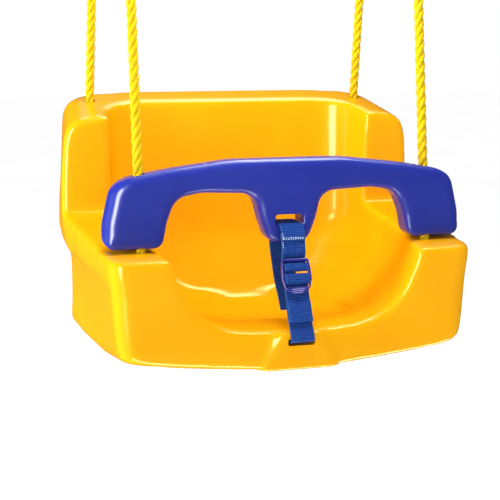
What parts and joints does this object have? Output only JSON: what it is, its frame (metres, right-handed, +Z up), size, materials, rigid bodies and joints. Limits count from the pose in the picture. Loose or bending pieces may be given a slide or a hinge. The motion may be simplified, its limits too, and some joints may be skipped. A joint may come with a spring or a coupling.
{
  "type": "toddler bucket swing",
  "caption": "Toddler bucket swing: blow-moulded seat, T-bar sliding on twisted ropes, adjustable crotch belt, and two steel hanging rings.",
  "frame": {"origin": "on the seat's flat base, on the left-right middle plane, straight below the two hanging rings", "axes": "+Z up, +X to the right of someone facing the seat, -Y out of the front of the seat, where the child's legs go"},
  "size_m": [0.416, 0.3281, 1.118],
  "materials": {
    "seat_plastic": "glossy moulded polyethylene, golden yellow",
    "bar_plastic": "glossy moulded polyethylene, royal blue",
    "rope": "twisted three-strand polypropylene, bright yellow",
    "webbing": "ribbed woven polypropylene webbing, blue",
    "lock_plastic": "glossy acetal, blue",
    "steel": "zinc-plated steel",
    "thread": "pale polyester thread"
  },
  "bodies": {
    "hanger": {"ring_left": "steel", "ring_right": "steel"},
    "seat": {"seat_shell": "seat_plastic", "rope_left": "rope", "rope_right": "rope", "rope_clamp_left": "steel", "rope_clamp_right": "steel", "washer_front_left": "steel", "washer_front_right": "steel", "washer_back_left": "steel", "washer_back_right": "steel", "lower_strap": "webbing", "belt_anchor_bar": "steel"},
    "t_bar": {"t_bar": "bar_plastic", "slot_strap": "webbing", "buckle_loop_web": "webbing", "flap_stitching": "thread"},
    "lock": {"ladder_lock": "lock_plastic"}
  },
  "joints": [
    {"name": "swing", "type": "hinge", "parent": "hanger", "child": "seat", "pos_m": [0, 0, 1.07], "axis": [1, 0, 0], "range_deg": [-45, 45]},
    {"name": "t_bar_slide", "type": "slide", "parent": "seat", "child": "t_bar", "axis": [0, 0.1188, 0.9929], "range_m": [0, 0.16], "deforming": ["lower_strap"]},
    {"name": "lock_tilt", "type": "hinge", "parent": "t_bar", "child": "lock", "pos_m": [0, -0.13773, 0.104], "axis": [-1, 0, 0], "range_deg": [0, 25], "deforming": ["buckle_loop_web"]}
  ]
}
